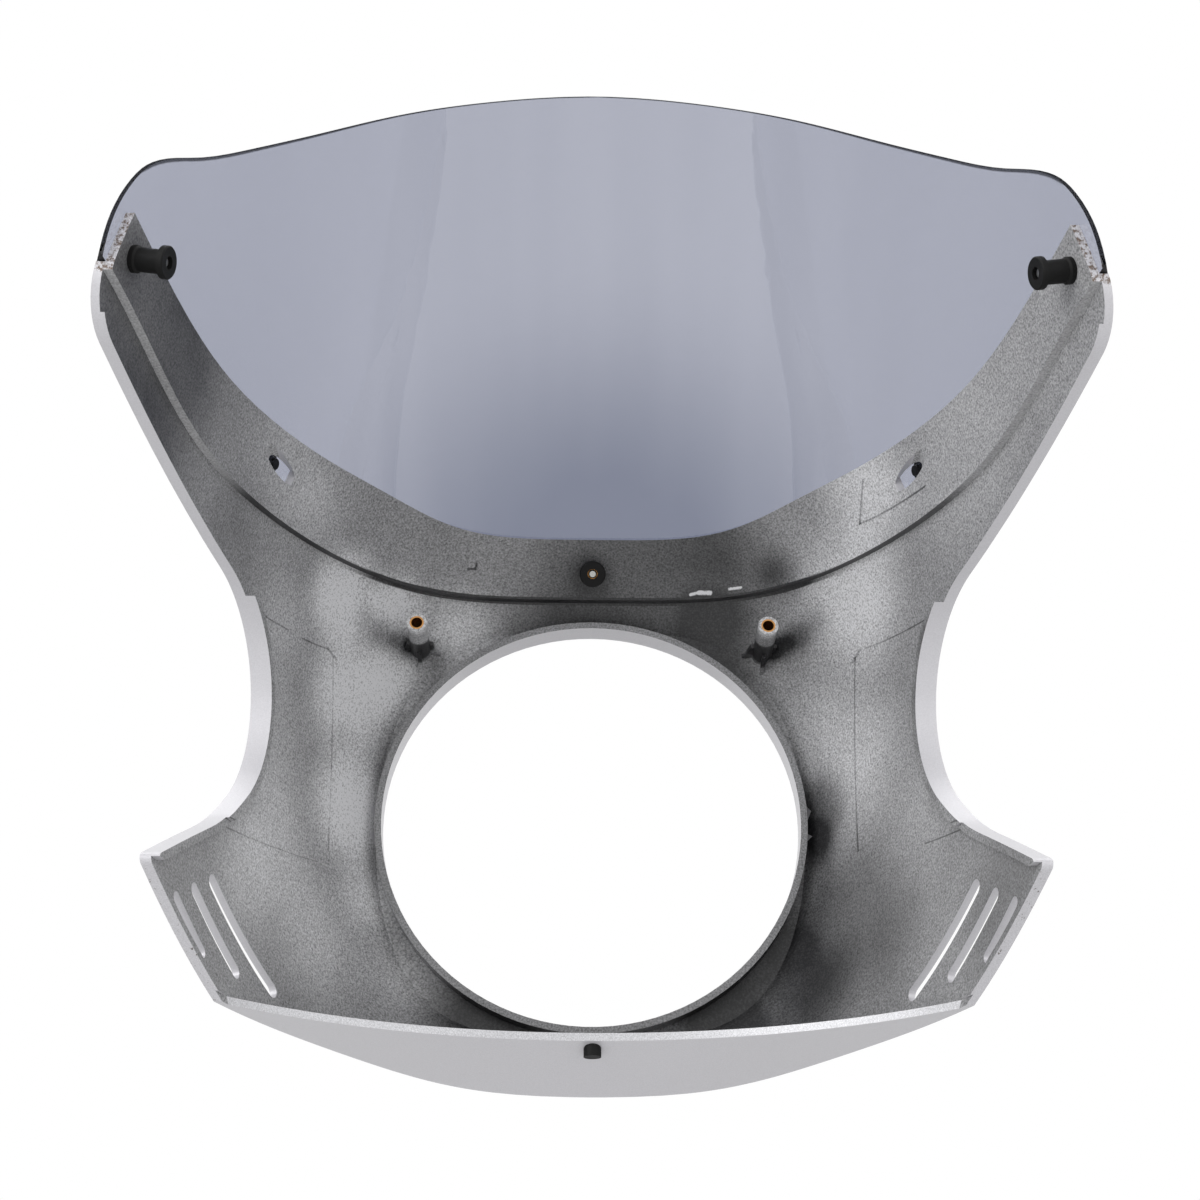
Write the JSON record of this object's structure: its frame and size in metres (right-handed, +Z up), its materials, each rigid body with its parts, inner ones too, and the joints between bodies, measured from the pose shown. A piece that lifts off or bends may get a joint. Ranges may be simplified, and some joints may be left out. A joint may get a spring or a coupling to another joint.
{
  "type": "motorcycle headlight fairing with windscreen",
  "caption": "Silver half fairing for a round headlight: a wrapped moulded shell with collar, fork cut-outs and gill slots, topped by a smoked windscreen held by rubber nuts.",
  "frame": {"origin": "centre of the headlight opening, in the rear plane of its collar", "axes": "+X to the rider's right, +Y forward along the opening's axis, +Z up"},
  "size_m": [0.3584, 0.2819, 0.4114],
  "materials": {
    "painted_shell": "silver metallic paint outside, thin overspray inside",
    "smoked_screen": "polished smoked acrylic",
    "black_rubber": "moulded, matt",
    "black_nylon": "moulded, satin",
    "brass": "turned",
    "plated_steel": "zinc plated"
  },
  "bodies": {
    "root": {"fairing_shell": "painted_shell", "windscreen": "smoked_screen", "chin_plug": "black_rubber", "well_nut_left": "black_rubber", "nut_insert_left": "brass", "screen_screw_left": "plated_steel", "screw_washer_left": "black_nylon", "well_nut_middle": "black_rubber", "nut_insert_middle": "brass", "screen_screw_middle": "plated_steel", "screw_washer_middle": "black_nylon", "well_nut_right": "black_rubber", "nut_insert_right": "brass", "screen_screw_right": "plated_steel", "screw_washer_right": "black_nylon", "screen_plug_left": "black_nylon", "boss_insert_left": "brass", "screen_plug_right": "black_nylon", "boss_insert_right": "brass"}
  },
  "joints": []
}
